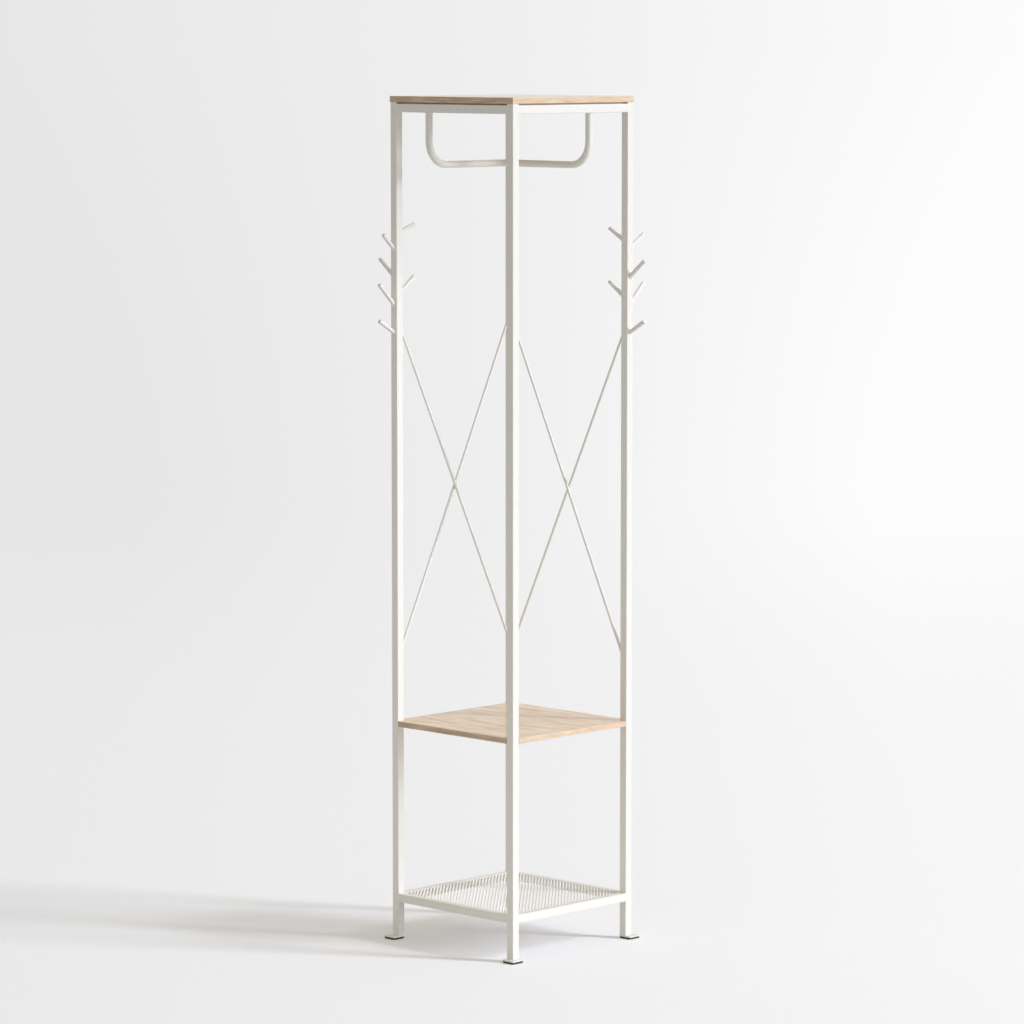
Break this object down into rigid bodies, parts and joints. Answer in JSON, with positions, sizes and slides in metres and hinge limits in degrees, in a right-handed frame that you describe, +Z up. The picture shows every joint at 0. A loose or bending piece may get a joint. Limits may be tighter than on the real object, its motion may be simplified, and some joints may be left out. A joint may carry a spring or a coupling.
{
  "type": "coat rack",
  "caption": "Free-standing square tower of white tube for coats, with oak top and shelf boards, a wire shoe shelf, a bent hanging rail, slanted pegs and crossed rear braces.",
  "frame": {"origin": "on the floor under the middle of the square plan", "axes": "+Z up; -Y is the open front and +X the open right side, the left and back sides are braced"},
  "size_m": [0.4512, 0.452, 1.8],
  "materials": {
    "white_steel": "matt white powder coat with a fine orange-peel",
    "oak": "pale oak with straight grain and a matt clear lacquer",
    "black_rubber": "matt black rubber",
    "screw_steel": "zinc-plated"
  },
  "bodies": {
    "root": {"bottom_rail_back": "white_steel", "bottom_rail_front": "white_steel", "bottom_rail_left": "white_steel", "bottom_rail_right": "white_steel", "brace_back_left_high": "white_steel", "brace_back_right_high": "white_steel", "brace_left_back_high": "white_steel", "brace_left_front_high": "white_steel", "foot_pad_back_left": "black_rubber", "foot_pad_back_right": "black_rubber", "foot_pad_front_left": "black_rubber", "foot_pad_front_right": "black_rubber", "foot_plate_back_left": "white_steel", "foot_plate_back_right": "white_steel", "foot_plate_front_left": "white_steel", "foot_plate_front_right": "white_steel", "hanging_rail": "white_steel", "peg_back_right_1": "white_steel", "peg_back_right_2": "white_steel", "peg_back_right_3": "white_steel", "peg_back_right_4": "white_steel", "peg_back_right_inner_lower": "white_steel", "peg_back_right_inner_upper": "white_steel", "peg_front_left_1": "white_steel", "peg_front_left_2": "white_steel", "peg_front_left_3": "white_steel", "peg_front_left_4": "white_steel", "peg_front_left_inner_lower": "white_steel", "peg_front_left_inner_upper": "white_steel", "post_back_left": "white_steel", "post_back_right": "white_steel", "post_front_left": "white_steel", "post_front_right": "white_steel", "shelf_board": "oak", "shelf_board_screws": "screw_steel", "shelf_tab_back_left": "white_steel", "shelf_tab_back_right": "white_steel", "shelf_tab_front_left": "white_steel", "shelf_tab_front_right": "white_steel", "shelf_wires": "white_steel", "top_board": "oak", "top_board_screws": "screw_steel", "top_rail_back": "white_steel", "top_rail_front": "white_steel", "top_rail_left": "white_steel", "top_rail_right": "white_steel", "top_tab_back_left": "white_steel", "top_tab_back_right": "white_steel", "top_tab_front_left": "white_steel", "top_tab_front_right": "white_steel"}
  },
  "joints": []
}
